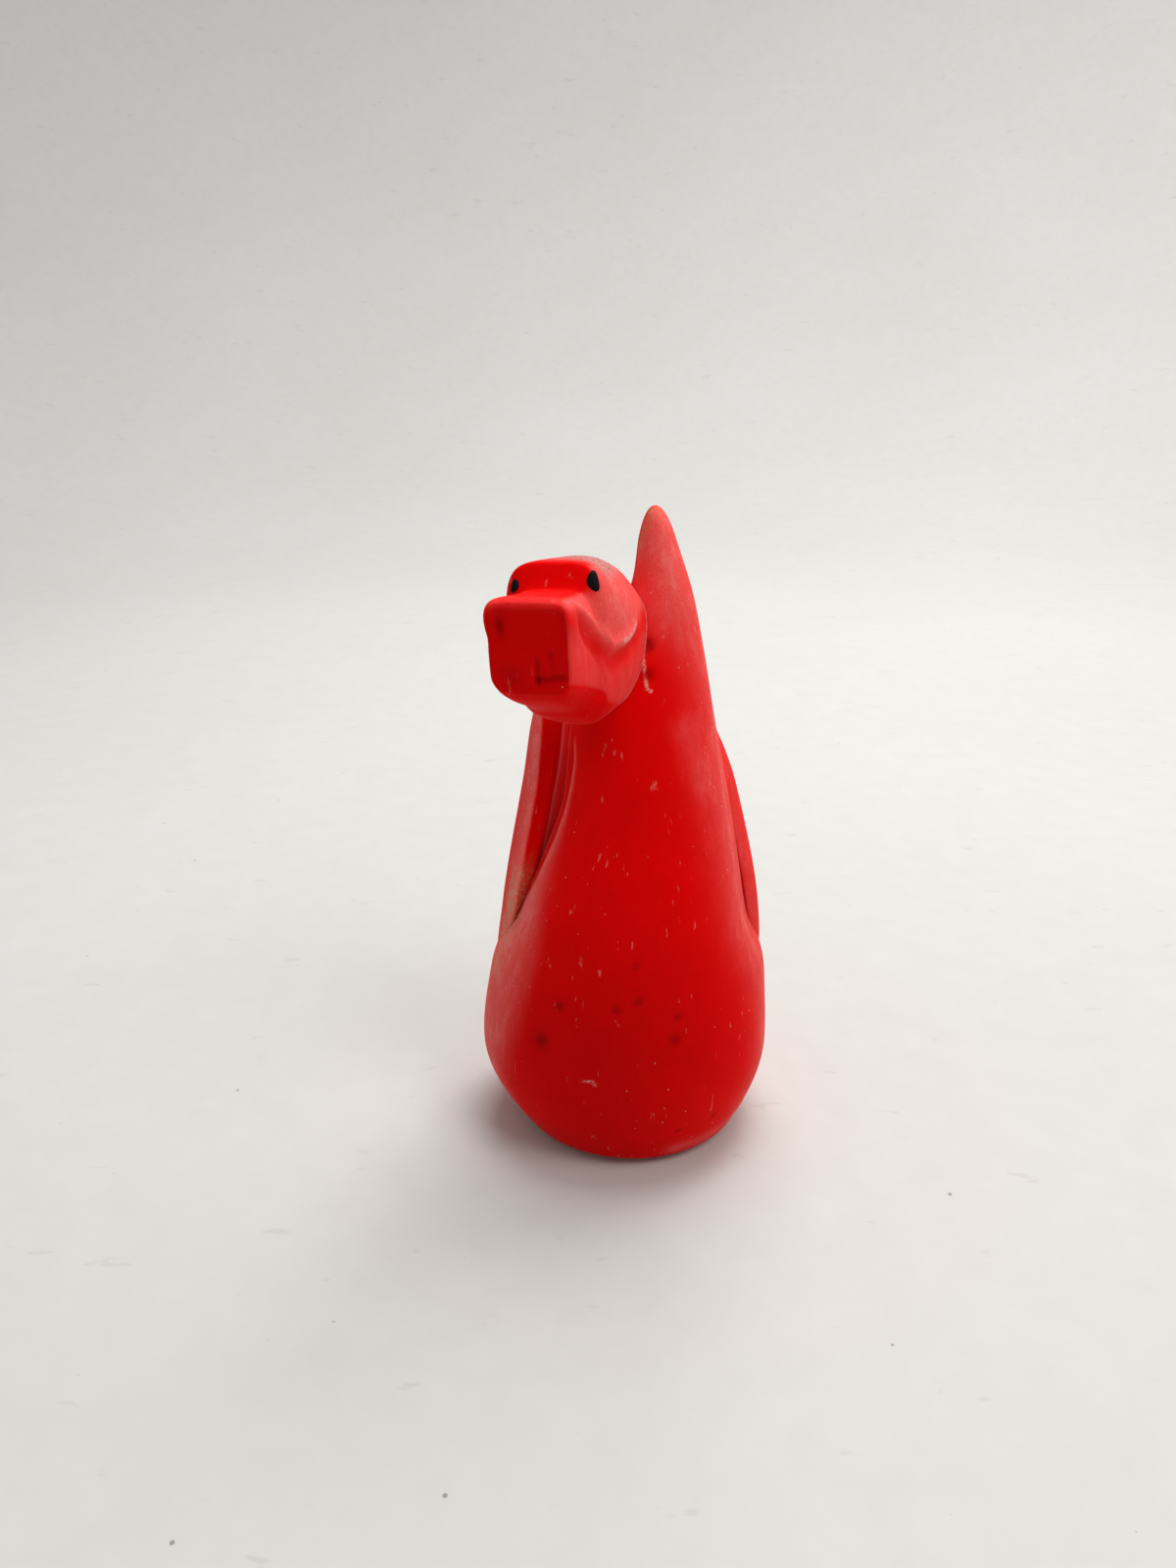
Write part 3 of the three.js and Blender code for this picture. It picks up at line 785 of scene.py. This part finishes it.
def head_relief(points, normal):
    """How far the skin of the head stands off its plain sections, in millimetres.

    With d the distance above the line of the lip, the lip is a ridge exp(-(d / soft)^2) and the
    furrow under it is exp(-((d + below) / soft)^2). The jaw is planed back by a share of the depth
    under its own line, softly at the line itself. All fade out where the skin faces up or down.
    """
    reach, up = -points[..., 1], points[..., 2]
    sideways = np.abs(normal[..., 0]) ** 1.5
    rise = (smooth(lip_line, 1, reach + 0.1) - smooth(lip_line, 1, reach - 0.1)) / 0.2
    above = (up - smooth(lip_line, 1, reach)) / np.hypot(1, rise)
    strength = step(reach, -0.5, 4.5) * (1 - 0.75 * step(reach, 12.5, 16.0))
    lip = lip_height * fade(above, lip_soft)
    furrow = furrow_depth * fade(above + furrow_below, furrow_soft)
    below = smooth(jaw_line, 1, reach) - up
    planed = plane_soft * np.log1p(np.exp(np.clip(below / plane_soft, -30, 30)))
    flare = sum(height * near(points, place, radius) for place, radius, height in flares)
    jaw = plane_share * np.minimum(planed, plane_most)
    return sideways * ((lip - furrow) * strength - jaw) + flare


# %% Nostrils and mouth, pressed into the flat face
right_nostril = (-3.1, 5.4, 0.55, 1.0, 0.4)  # side, height, half width, half height, depth
face_spots = [
    # side, height, radius, depth
    (3.5, 6.5, 0.5, 0.1),  # left nostril
    (2.1, 2.7, 0.4, 0.16),  # pinch over the mouth
    (-2.4, 0.2, 1.1, 0.2),  # lower right corner
]
face_lines = [
    # points of side and height, radius, depth
    ([(0.8, -0.05), (2.2, 0.1), (3.4, 0.3)], 0.42, 0.3),  # mouth
    ([(0.75, 2.0), (0.7, 0.9), (0.7, -0.4)], 0.3, 0.22),  # cleft
    ([(2.1, 2.3), (2.5, 0.6)], 0.35, 0.1),  # crease
]


def face_relief(points):
    """Depth of the marks on the muzzle, from the side and height of each point."""
    flat = points[..., [0, 2]]
    side, height, wide, tall, depth = right_nostril
    relief = depth * fade(flat[..., 0] - side, wide) * fade(flat[..., 1] - height, tall)
    for side, height, radius, depth in face_spots:
        relief += depth * near(flat, (side, height), radius)
    for path, radius, depth in face_lines:
        relief += depth * along(flat, np.array(path), radius)
    return relief


# %% Carving the head
head_normal = outward(head)
on_sides = np.zeros(head.shape[:2])
on_sides[len(face):len(face) + len(sides_of_head) - 1] = 1
at_face = step(-head[..., 1], muzzle_reach - 0.25, muzzle_reach - 0.02)
side_relief = head_relief(head, head_normal) * on_sides
front_relief = face_relief(head) * at_face
head_shaped = head + head_normal * side_relief[..., None]
head_shaped[..., 1] += front_relief
print("lip stands out by", side_relief.max().round(2), "mm; mouth is", front_relief.max().round(2))

# %% Marks of the head: painted sheen, painted shade and scuffs
eye_rear, eye_rear_radius = (5.6, -4.5, 6.0), 2.4
roll_middle, roll_radius = (-16.4, 8.0), 0.8
deep_face_mark = 0.6

reach, up = -head[..., 1], head[..., 2]
above_lip = up - smooth(lip_line, 1, reach)
above_jaw = up - smooth(jaw_line, 1, reach)
left_side = step(head_normal[..., 0], 0.25, 0.7) * step(reach, -6.0, -3.0)
ridge = fade(above_lip, 0.8) * np.abs(head_normal[..., 0])
furrow = fade(above_lip + 1.8, 1.1)
cheek = left_side * step(above_jaw, -0.25, 0.25) * (1 - 0.7 * furrow)
crown = step(up, 7.4, 9.2) * step(head[..., 0], -4.0, 2.0) * (1 - step(reach, 5.0, 8.0))
behind_eye = near(head, eye_rear, eye_rear_radius)
roll = near(head[..., [1, 2]], roll_middle, roll_radius)
underside = step(-head_normal[..., 2], 0.2, 0.8)
seam_line = fade(reach - rim_reach[None, :], 0.25) * step(head[..., 0], 3.5, 5.0)
rubbed_ridge = fade(above_lip, 0.3) * band(reach, (0.5, 2.0), (5.0, 6.5))
# Painted sheen on the lip's ridge, the crown, behind the eye, the roll over the muzzle and the lit cheek.
# Painted shade in the nostrils and mouth, on the flat face, over the crown and under the chin. The
# crown's share of the scuffs is painted highlight; the seam and the rubbed ridge are real scuffs.
head_marks = {
    "sheen_and_dust": 0.22 * ridge * step(reach, 0, 5) + 0.8 * crown + 0.3 * behind_eye + 0.3 * roll
    + cheek * (0.38 + 0.55 * step(above_lip, -1.0, 0.5)),
    "wear": np.zeros(reach.shape),
    "painted_shade": np.clip(front_relief / deep_face_mark, 0, 1) + 0.34 * at_face + 1.1 * crown
    + 0.3 * underside,
    "scuff": 0.7 * seam_line + 0.7 * rubbed_ridge * left_side + 0.42 * crown,
}

# %% Head piece
muzzle_middle = head_point(muzzle_reach - tiny, np.array(0.0), 0.0)
make_piece(
    "head_skin", from_head(head_shaped), from_head(muzzle_middle), from_head(saddle_end),
    "head", "red_skin", head_marks,
)

# %% [markdown]
# ## The eyes
#
# The eyes are black drops let into the brow. Each is drawn flat, as an outline with rounded corners,
# then carried onto the brow along the way it faces and raised to a low dome.

# %% Eye outline
eyes = {
    # word: side of the head, distance out, height, width, tallness
    "left": (1, 4.1, 8.4, 1.55, 2.15),
    "right": (-1, 3.6, 7.9, 1.25, 1.45),
}
eye_facing = np.radians(32)
eye_start_reach = 8.5
eye_search, eye_halvings = (-3.0, 4.0), 30
eye_dome_height, eye_dome_rings = 0.28, 15
eye_back_shares, eye_back_depths = [1.0, 0.6], [0.35, 0.6]
eye_corners = np.array([[-0.02, 0.5], [0.4, 0.48], [0.5, -0.42], [0.08, -0.5], [-0.5, -0.06]])


def rounded(corners, share=0.45, points=14):
    """An outline whose corners are quadratic curves that start part of the way along each edge."""
    t = np.linspace(0, 1, points)[:, None]
    pieces = []
    for before, corner, after in zip(np.roll(corners, 1, 0), corners, np.roll(corners, -1, 0)):
        enter = corner + (before - corner) * share
        leave = corner + (after - corner) * share
        pieces.append((1 - t) ** 2 * enter + 2 * t * (1 - t) * corner + t * t * leave)
    return np.concatenate(pieces)


# %% Eye pieces
def eye_skin(side, out, up, width, tall):
    """Rings of one eye, from the middle of its dome out and round to the back.

    A point (u, w) of the outline starts at the eye's middle, goes u across and w up, and slides
    along the way the eye faces until it comes out of the head; the dome adds
    height * sqrt(1 - share^2) to that.
    """
    facing = np.array([side * np.sin(eye_facing), -np.cos(eye_facing), 0])
    across = np.array([side * np.cos(eye_facing), np.sin(eye_facing), 0])
    outline = rounded(eye_corners) * (width, tall)
    dome_shares = np.sin(np.linspace(0, np.pi / 2, eye_dome_rings + 1))[1:]
    dome = eye_dome_height * np.sqrt(1 - dome_shares ** 2)
    share = np.concatenate([dome_shares, eye_back_shares])[:, None]
    dome = np.concatenate([dome, -np.array(eye_back_depths)])[:, None]
    flat = outline[None] * share[..., None]
    start = np.array([side * out, -eye_start_reach, up])
    base = start + flat[..., :1] * across + flat[..., 1:] * np.array([0.0, 0.0, 1.0])
    inner, outer = (np.full(base.shape[:2], limit) for limit in eye_search)
    for _ in range(eye_halvings):
        middle = (inner + outer) / 2
        outside = head_inside(base + middle[..., None] * facing) > 1
        inner, outer = np.where(outside, inner, middle), np.where(outside, middle, outer)
    rings = base + (inner + dome)[..., None] * facing
    front = rings[0].mean(axis=0) + 0.01 * facing
    back = rings[-1].mean(axis=0)
    rings = rings if side < 0 else rings[:, ::-1]
    return from_head(rings), from_head(front), from_head(back)


for word, eye in eyes.items():
    rings, front, back = eye_skin(*eye)
    make_piece(f"eye_{word}_skin", rings, front, back, f"eye_{word}", "black_inlay")

# %% [markdown]
# ## The foot pad
#
# The figurine stands on a thin oval pad that is let into its underside, and only a dark line of it
# shows under the rim. A profile carried round the oval gives it softly broken edges.

# %% Foot pad piece
pad_profile = [
    # share of the pad's size, height
    (0.5, 0.0), (0.96, 0.0), (0.985, 0.03), (0.997, 0.1), (1.0, 0.2), (1.0, 0.6),
    (1.0, pad_thickness - 0.1), (0.99, pad_thickness), (0.5, pad_thickness),
]
pad_points_round = 160
make_piece(
    "foot_pad_skin", np.array(foot_profile(pad_profile, pad_points_round)),
    foot_centre, foot_centre + (0, 0, pad_thickness), "foot_pad", "pad_rubber",
)

# %% [markdown]
# ## Writing finishes as expressions
#
# A finish is a small network of nodes, and most of it is arithmetic. One class wraps a socket, so
# that a sum in Python becomes a Math node in the material, and one method adds any other node.

# %% Sockets with arithmetic
class Wire:
    """One output of a material's nodes. Arithmetic on it adds Math nodes."""

    def __init__(self, tree, socket=None):
        self.tree = tree
        self.socket = socket

    def node(self, kind, settings, inputs, output=0):
        """Adds a node: its settings first, then the value or link of each input."""
        made = self.tree.nodes.new(kind)
        for name, value in settings.items():
            setattr(made, name, value)
        for name, value in inputs.items():
            if isinstance(value, Wire):
                self.tree.links.new(value.socket, made.inputs[name])
            else:
                made.inputs[name].default_value = value
        return Wire(self.tree, made.outputs[output])

    def maths(self, operation, *values):
        """Adds a Math node that works on wires and numbers."""
        return self.node("ShaderNodeMath", {"operation": operation}, dict(enumerate(values)))

    def __add__(self, other):
        return self.maths("ADD", self, other)

    def __sub__(self, other):
        return self.maths("SUBTRACT", self, other)

    def __rsub__(self, other):
        return self.maths("SUBTRACT", other, self)

    def __mul__(self, other):
        return self.maths("MULTIPLY", self, other)

    __radd__ = __add__
    __rmul__ = __mul__

    def rise(self, low, high):
        """0 below low, 1 above high, with a smooth rise between them."""
        return self.node(
            "ShaderNodeMapRange", {"interpolation_type": "SMOOTHSTEP"},
            {"Value": self, "From Min": low, "From Max": high},
        )

    def noise(self, size, detail=2.0, roughness=0.5, stretch=(1, 1, 1)):
        """Noise whose lumps are about size metres across, read at the wire's coordinates."""
        placed = self.node("ShaderNodeMapping", {}, {"Vector": self, "Scale": stretch})
        return self.node(
            "ShaderNodeTexNoise", {},
            {"Vector": placed, "Scale": 1 / size, "Detail": detail, "Roughness": roughness},
        )

    def specks(self, spacing, size):
        """Small round dots: 1 within size of a scattered point, with one such point per spacing."""
        distance = self.node(
            "ShaderNodeTexVoronoi", {}, {"Vector": self, "Scale": 1 / spacing}, "Distance"
        )
        return 1 - distance.rise(0.6 * size / spacing, size / spacing)

    def mixed(self, first, second):
        """The first colour where the wire is 0 and the second where it is 1."""
        return self.node(
            "ShaderNodeMix", {"data_type": "RGBA", "clamp_factor": True},
            {0: self, 6: first, 7: second}, 2,
        )


def start_finish(name):
    """A new material: returns it, its shader node and a wire with the object's coordinates."""
    material = bpy.data.materials.new(name)
    material.use_nodes = True
    tree = material.node_tree
    where = Wire(tree).node("ShaderNodeTexCoord", {}, {}, "Object")
    return material, tree.nodes["Principled BSDF"], where


def feed(shader, **values):
    """Sets or links the shader's sockets; an underscore in a name stands for a space."""
    for name, value in values.items():
        socket = shader.inputs[name.replace("_", " ")]
        if isinstance(value, Wire):
            value.tree.links.new(value.socket, socket)
        else:
            socket.default_value = value


def bumped(where, height, strength, depth):
    """A normal from a height between 0 and 1 that stands for depth metres."""
    return where.node(
        "ShaderNodeBump", {}, {"Height": height, "Strength": strength, "Distance": depth}, "Normal"
    )


def marked(where, name):
    """The marks that were stored on the points under a name."""
    return where.node("ShaderNodeAttribute", {"attribute_name": name}, {}, "Fac")


def dress(material, *names):
    """Gives a material to pieces and prints how many nodes it has."""
    for name in names:
        bpy.data.objects[name].data.materials.append(material)
    print(f"{material.name}: {len(material.node_tree.nodes)} nodes, on", *names)


# %% [markdown]
# ## The red skin
#
# Soft moulded rubber, red all through, has a fine dry grain. Handling leaves olive rubs, specks of
# dust and short scratches. Light grazing the rolls and edges is painted on as a pale pink sheen,
# partly a dusty film, and shade is painted on as a darker red. The sheen, the shade and the rubs
# follow the shape, so they are read from the marks stored on the points; the grain, specks and
# scratches are fine noise on the object's coordinates.

# %% Red rubber finish
skin_red = (0.92, 0.0003, 0.0006, 1)
deep_red = (0.78, 0.0001, 0.0003, 1)
# Pink of the painted sheen, partly a dusty film.
sheen_and_dust_pink = (0.93, 0.17, 0.155, 1)
rub_olive = (0.60, 0.42, 0.24, 1)
dust_white = (0.85, 0.66, 0.60, 1)
# Dark red of the painted shade.
painted_shade_red = (0.16, 0.001, 0.002, 1)

red_rubber, shader, where = start_finish("red_rubber")
cloud = where.noise(0.018, 3.0)
patches = where.noise(0.0035, 4.0, 0.6)
grain = where.noise(0.00028, 2.0, 0.6)
brushed = where.noise(0.0011, 3.0, 0.65, (1, 1, 0.16))
streaks = brushed.rise(0.40, 0.64)
colour = (0.35 * cloud + 0.25 * patches).rise(0.15, 0.5).mixed(deep_red, skin_red)
sheen_and_dust_breakup = 0.48 + 0.38 * patches.rise(0.35, 0.62) * streaks + 0.22 * grain.rise(0.3, 0.7)
# Painted sheen, partly a dusty film, broken into patches and streaks.
sheen_and_dust = marked(where, "sheen_and_dust") * sheen_and_dust_breakup
colour = (0.85 * sheen_and_dust).mixed(colour, sheen_and_dust_pink)
crumbs = where.noise(0.0005, 3.0, 0.7).rise(0.50, 0.60)
wear = marked(where, "wear") * (0.3 + 0.7 * crumbs * patches.rise(0.40, 0.55))
colour = (0.85 * wear).mixed(colour, rub_olive)
# Painted shade darkens the red.
colour = (0.6 * marked(where, "painted_shade")).mixed(colour, painted_shade_red)
hairline = where.noise(0.0006, 2.0, 0.6, (1, 1, 0.14))
scratch = hairline.rise(0.66, 0.71) * patches.rise(0.46, 0.58)
dust = where.specks(0.0017, 0.0001) * cloud.rise(0.42, 0.58)
# Scratches, dust and scuffs; the crown's share of the scuffs is painted highlight.
pale = 0.13 * scratch + 0.5 * dust + 0.8 * marked(where, "scuff") * grain.rise(0.35, 0.55)
colour = pale.mixed(colour, dust_white)
rough = 0.55 + 0.12 * grain + 0.12 * sheen_and_dust
skin_height = 0.6 * grain + 0.5 * patches - 0.7 * scratch
feed(
    shader, Base_Color=colour, Roughness=rough, Specular_IOR_Level=0.03,
    Sheen_Weight=0.12, Sheen_Roughness=0.22, Sheen_Tint=(1.0, 0.62, 0.58, 1),
    Normal=bumped(where, skin_height, 0.35, 0.00005),
)
dress(red_rubber, "body_skin", "head_skin", "wing_left_skin", "wing_right_skin")

# %% [markdown]
# ## Eyes, pad and dowel
#
# The eyes are a dense black with a soft shine. The pad is dark rubber with a fine rolled texture.
# The dowel is hidden in the joint, and is a plain drawn steel pin with fine lines along it.

# %% Black inlay
inlay_dark, inlay_light = (0.0035, 0.003, 0.004, 1), (0.012, 0.009, 0.011, 1)

black_inlay, shader, where = start_finish("black_inlay")
smear = where.noise(0.0012, 3.0)
grain = where.noise(0.00015, 2.0)
feed(
    shader, Base_Color=smear.mixed(inlay_dark, inlay_light),
    Roughness=0.5 + 0.2 * smear, Specular_IOR_Level=0.05,
    Normal=bumped(where, grain, 0.15, 0.00002),
)
dress(black_inlay, "eye_left_skin", "eye_right_skin")

# %% Pad rubber
pad_dark, pad_light = (0.035, 0.006, 0.008, 1), (0.075, 0.016, 0.018, 1)

pad_rubber, shader, where = start_finish("pad_rubber")
mottle = where.noise(0.002, 3.0)
nap = where.node("ShaderNodeTexVoronoi", {}, {"Vector": where, "Scale": 1 / 0.0007}, "Distance")
feed(
    shader, Base_Color=mottle.mixed(pad_dark, pad_light),
    Roughness=0.75 + 0.2 * mottle, Specular_IOR_Level=0.3,
    Normal=bumped(where, nap, 0.5, 0.00008),
)
dress(pad_rubber, "foot_pad_skin")

# %% Drawn steel
steel_dark, steel_light = (0.42, 0.42, 0.43, 1), (0.60, 0.60, 0.61, 1)

drawn_steel, shader, where = start_finish("drawn_steel")
lines = where.noise(0.0006, 3.0, 0.6, (1, 0.12, 1))
feed(
    shader, Base_Color=lines.mixed(steel_dark, steel_light),
    Metallic=1.0, Roughness=0.28 + 0.25 * lines, Normal=bumped(where, lines, 0.25, 0.00002),
)
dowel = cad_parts["head_dowel"]
dowel.data.materials.clear()
dowel.data.materials.append(drawn_steel)
print("finishes:", [m.name for m in bpy.data.materials if m.users])

# %% [markdown]
# ## The studio
#
# The figurine stands on a pale sheet that sweeps up like a wide dish, so no horizon shows from any
# side. The sheet has the faint mottling and the odd speck of a used table top.

# %% Floor dish
floor_flat, dish_radius, dish_height = 0.40, 0.45, 0.60
dish_points_round, flat_rings, bend_rings, hub_radius = 128, 30, 24, 0.01
dish_turn = turns(dish_points_round)
bend = np.linspace(0, np.pi / 2, bend_rings)
dish_profile = np.concatenate([
    np.stack([np.linspace(hub_radius, floor_flat, flat_rings), np.zeros(flat_rings)], -1),
    np.stack([floor_flat + dish_radius * np.sin(bend), dish_radius * (1 - np.cos(bend))], -1)[1:],
    [[floor_flat + dish_radius, dish_height]],
])
dish_points = np.stack([
    dish_profile[:, None, 0] * np.sin(dish_turn),
    -dish_profile[:, None, 0] * np.cos(dish_turn),
    dish_profile[:, None, 1] + 0 * dish_turn,
], -1)
facing_in = [1, 0, 3, 2]  # corner order that turns a face inwards
dish_faces = ring_faces(len(dish_profile), dish_points_round)[..., facing_in].reshape(-1, 4).tolist()
dish_mesh = bpy.data.meshes.new("floor_dish")
dish_mesh.from_pydata(
    dish_points.reshape(-1, 3).tolist(), [], dish_faces + [list(range(dish_points_round))]
)
dish_mesh.shade_smooth()
new_object("floor_dish", dish_mesh)
print("dish faces:", len(dish_mesh.polygons))

# %% Sheet finish
sheet_dark, sheet_light = (0.56, 0.553, 0.53, 1), (0.66, 0.656, 0.638, 1)
fleck_brown = (0.20, 0.17, 0.16, 1)

pale_sheet, shader, where = start_finish("pale_sheet")
broad = where.noise(0.12, 3.0)
fine = where.noise(0.006, 4.0, 0.6)
lint = where.specks(0.009, 0.0003) * broad.rise(0.40, 0.55)
dirt = where.specks(0.0042, 0.00012) * fine.rise(0.42, 0.58)
hairs = where.noise(0.0045, 3.0, 0.7, (0.35, 1, 1)).rise(0.66, 0.70)
sheet_colour = (0.5 * broad + 0.5 * fine).mixed(sheet_dark, sheet_light)
flecked = (0.75 * lint + 0.45 * dirt + 0.12 * hairs).mixed(sheet_colour, fleck_brown)
feed(
    shader, Base_Color=flecked, Roughness=0.8,
    Specular_IOR_Level=0.2, Normal=bumped(where, fine, 0.15, 0.0002),
)
dress(pale_sheet, "floor_dish")

# %% [markdown]
# ## Light
#
# The light in the picture is soft, as under a bright ceiling, and a little stronger from above and
# behind. A pale world lights it from all round. One large lamp above sets the shadow, one fills the
# front and one lights the back of the sheet.

# %% Lamps and world
def soft_lamp(name, place, size, power, colour, aim=(0.0, 0.0, 0.035)):
    """A square area lamp at a place in metres, turned so that it faces its aim."""
    light = bpy.data.lights.new(name, "AREA")
    light.shape = "SQUARE"
    light.size = size
    light.energy = power
    light.color = colour
    lamp = new_object(name, light)
    lamp.location = place
    lamp.rotation_euler = (Vector(aim) - Vector(place)).to_track_quat("-Z", "Y").to_euler()
    lamp.visible_camera = False


soft_lamp("key_lamp", (0.055, 0.19, 0.60), 0.35, 2.6, (1.0, 0.995, 0.98))
soft_lamp("front_lamp", (0.20, -0.18, 0.36), 0.18, 0.53, (1.0, 0.98, 0.96))
soft_lamp("backdrop_lamp", (0.25, 0.30, 0.60), 0.40, 2.2, (1.0, 1.0, 1.0), (0.12, 0.75, 0.10))

world = bpy.data.worlds.new("studio")
world.use_nodes = True
background = world.node_tree.nodes["Background"]
background.inputs["Color"].default_value = (0.99, 0.99, 1.0, 1)
background.inputs["Strength"].default_value = 0.38
bpy.context.scene.world = world
bpy.context.scene.view_settings.view_transform = "Standard"
